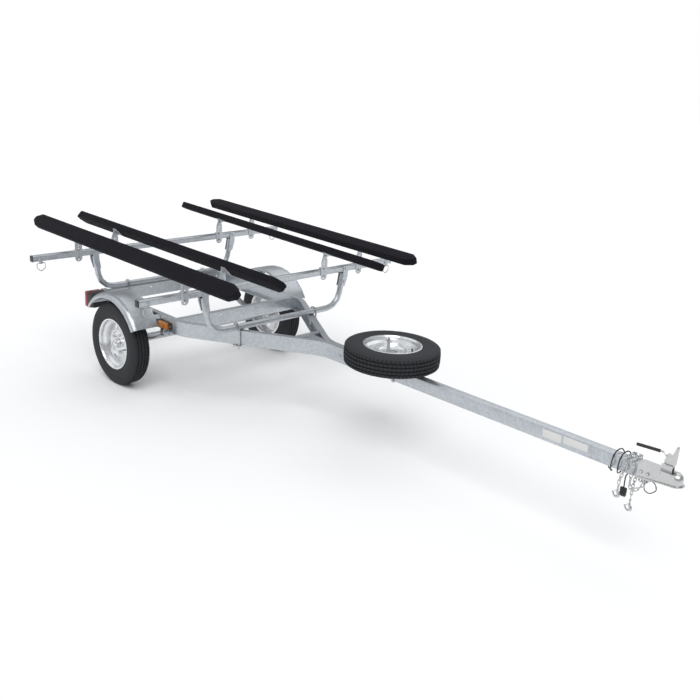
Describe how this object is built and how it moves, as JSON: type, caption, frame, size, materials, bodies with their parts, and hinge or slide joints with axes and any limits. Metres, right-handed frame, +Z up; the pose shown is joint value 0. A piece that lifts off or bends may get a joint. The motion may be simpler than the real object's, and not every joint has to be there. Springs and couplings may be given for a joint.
{
  "type": "kayak trailer",
  "caption": "Small galvanised boat trailer with a sprung axle, bent side rails, load bars on wide supports and carpeted bunks for kayaks.",
  "frame": {"origin": "ground level, under the middle of the trailer's length and width", "axes": "+X forward to the coupler, +Y to the trailer's left, +Z up"},
  "size_m": [4.3476, 1.981, 0.9478],
  "materials": {
    "galvanised": "hot-dip galvanised, faint spangle",
    "zinc": "bright zinc plating",
    "rim": "galvanised wheel, satin",
    "tyre": "rubber with a ribbed tread",
    "carpet": "marine carpet over a board",
    "black_plastic": "moulded, satin",
    "red_lens": "moulded lens, gloss",
    "amber_lens": "moulded lens, gloss",
    "dark_steel": "dark paint, satin"
  },
  "bodies": {
    "frame": {"frame_rail_right": "galvanised", "frame_rail_left": "galvanised", "rear_crossmember": "galvanised", "front_crossmember": "galvanised", "tongue_cross_channel": "galvanised", "tongue_tube": "galvanised", "fender_right": "galvanised", "fender_left": "galvanised", "rear_support_tube": "galvanised", "front_support_tube": "galvanised", "rear_load_bar": "galvanised", "front_load_bar": "galvanised", "spare_carrier": "galvanised", "bunk_bracket_1_rear": "galvanised", "bunk_bracket_1_front": "galvanised", "bunk_bracket_2_rear": "galvanised", "bunk_bracket_2_front": "galvanised", "bunk_bracket_3_rear": "galvanised", "bunk_bracket_3_front": "galvanised", "bunk_bracket_4_rear": "galvanised", "bunk_bracket_4_front": "galvanised", "coupler_body": "zinc", "rear_clamp_right": "zinc", "rear_clamp_left": "zinc", "front_clamp_right": "zinc", "front_clamp_left": "zinc", "safety_chain_right": "zinc", "safety_chain_left": "zinc", "safety_hook_right": "zinc", "safety_hook_left": "zinc", "spare_rim": "rim", "spare_tyre": "tyre", "tail_light_right": "black_plastic", "tail_light_left": "black_plastic", "wiring_lead": "black_plastic", "wiring_plug": "black_plastic", "tail_lens_right": "red_lens", "tail_lens_left": "red_lens", "side_marker_right": "amber_lens", "side_marker_left": "amber_lens", "leaf_spring_right": "dark_steel", "leaf_spring_left": "dark_steel"},
    "axle": {"axle_beam": "galvanised"},
    "wheel_right": {"hub_right": "zinc", "rim_right": "rim", "tyre_right": "tyre"},
    "wheel_left": {"hub_left": "zinc", "rim_left": "rim", "tyre_left": "tyre"},
    "bunk_1": {"bunk_1": "carpet"},
    "bunk_2": {"bunk_2": "carpet"},
    "bunk_3": {"bunk_3": "carpet"},
    "bunk_4": {"bunk_4": "carpet"},
    "tie_ring_rear_right": {"tie_ring_rear_right": "zinc"},
    "tie_ring_rear_left": {"tie_ring_rear_left": "zinc"},
    "tie_ring_front_right": {"tie_ring_front_right": "zinc"},
    "tie_ring_front_left": {"tie_ring_front_left": "zinc"},
    "coupler_lever": {"coupler_lever": "zinc"},
    "coupler_ball_clamp": {"coupler_ball_clamp": "dark_steel"},
    "spare_carrier_nut": {"spare_carrier_nut": "zinc"}
  },
  "joints": [
    {"name": "axle_travel", "type": "slide", "parent": "frame", "child": "axle", "axis": [0, 0, 1], "range_m": [-0.03, 0.045], "stiffness_N_per_m": 30000, "springref_m": -0.028, "deforming": ["leaf_spring_right", "leaf_spring_left"]},
    {"name": "wheel_spin_right", "type": "hinge", "parent": "axle", "child": "wheel_right", "pos_m": [-1.28362, -0.624, 0.2655], "axis": [0, 1, 0], "continuous": true},
    {"name": "wheel_spin_left", "type": "hinge", "parent": "axle", "child": "wheel_left", "pos_m": [-1.28362, 0.624, 0.2655], "axis": [0, 1, 0], "continuous": true},
    {"name": "bunk_1_tilt", "type": "hinge", "parent": "frame", "child": "bunk_1", "pos_m": [-1.06837, -0.6905, 0.877], "axis": [0.9999, -0.0143, 0], "range_deg": [-15, 15]},
    {"name": "bunk_2_tilt", "type": "hinge", "parent": "frame", "child": "bunk_2", "pos_m": [-1.06837, -0.43, 0.877], "axis": [0.9998, -0.0202, 0], "range_deg": [-15, 15]},
    {"name": "bunk_3_tilt", "type": "hinge", "parent": "frame", "child": "bunk_3", "pos_m": [-1.06837, 0.3995, 0.877], "axis": [0.9981, -0.0614, 0], "range_deg": [-15, 15]},
    {"name": "bunk_4_tilt", "type": "hinge", "parent": "frame", "child": "bunk_4", "pos_m": [-1.06837, 0.706, 0.877], "axis": [0.9988, -0.0488, 0], "range_deg": [-15, 15]},
    {"name": "tie_ring_swing_rear_right", "type": "hinge", "parent": "frame", "child": "tie_ring_rear_right", "pos_m": [-1.66507, -0.9405, 0.74295], "axis": [0, 1, 0], "range_deg": [-80, 80]},
    {"name": "tie_ring_swing_rear_left", "type": "hinge", "parent": "frame", "child": "tie_ring_rear_left", "pos_m": [-1.66507, 0.9405, 0.74295], "axis": [0, 1, 0], "range_deg": [-80, 80]},
    {"name": "tie_ring_swing_front_right", "type": "hinge", "parent": "frame", "child": "tie_ring_front_right", "pos_m": [-0.47907, -0.9405, 0.74295], "axis": [0, 1, 0], "range_deg": [-80, 80]},
    {"name": "tie_ring_swing_front_left", "type": "hinge", "parent": "frame", "child": "tie_ring_front_left", "pos_m": [-0.47907, 0.9405, 0.74295], "axis": [0, 1, 0], "range_deg": [-80, 80]},
    {"name": "lever_lift", "type": "hinge", "parent": "frame", "child": "coupler_lever", "pos_m": [2.08838, 0, 0.524], "axis": [0, 1, 0], "range_deg": [0, 60]},
    {"name": "ball_clamp_turn", "type": "hinge", "parent": "frame", "child": "coupler_ball_clamp", "pos_m": [2.07038, 0, 0.489], "axis": [0, 1, 0], "range_deg": [0, 6]},
    {"name": "spare_nut_turn", "type": "hinge", "parent": "frame", "child": "spare_carrier_nut", "pos_m": [0.47999, -0.05421, 0.567], "axis": [0, 0, 1], "continuous": true}
  ],
  "couplings": [
    {"joint": "ball_clamp_turn", "follows": "lever_lift", "ratio": 0.1}
  ]
}
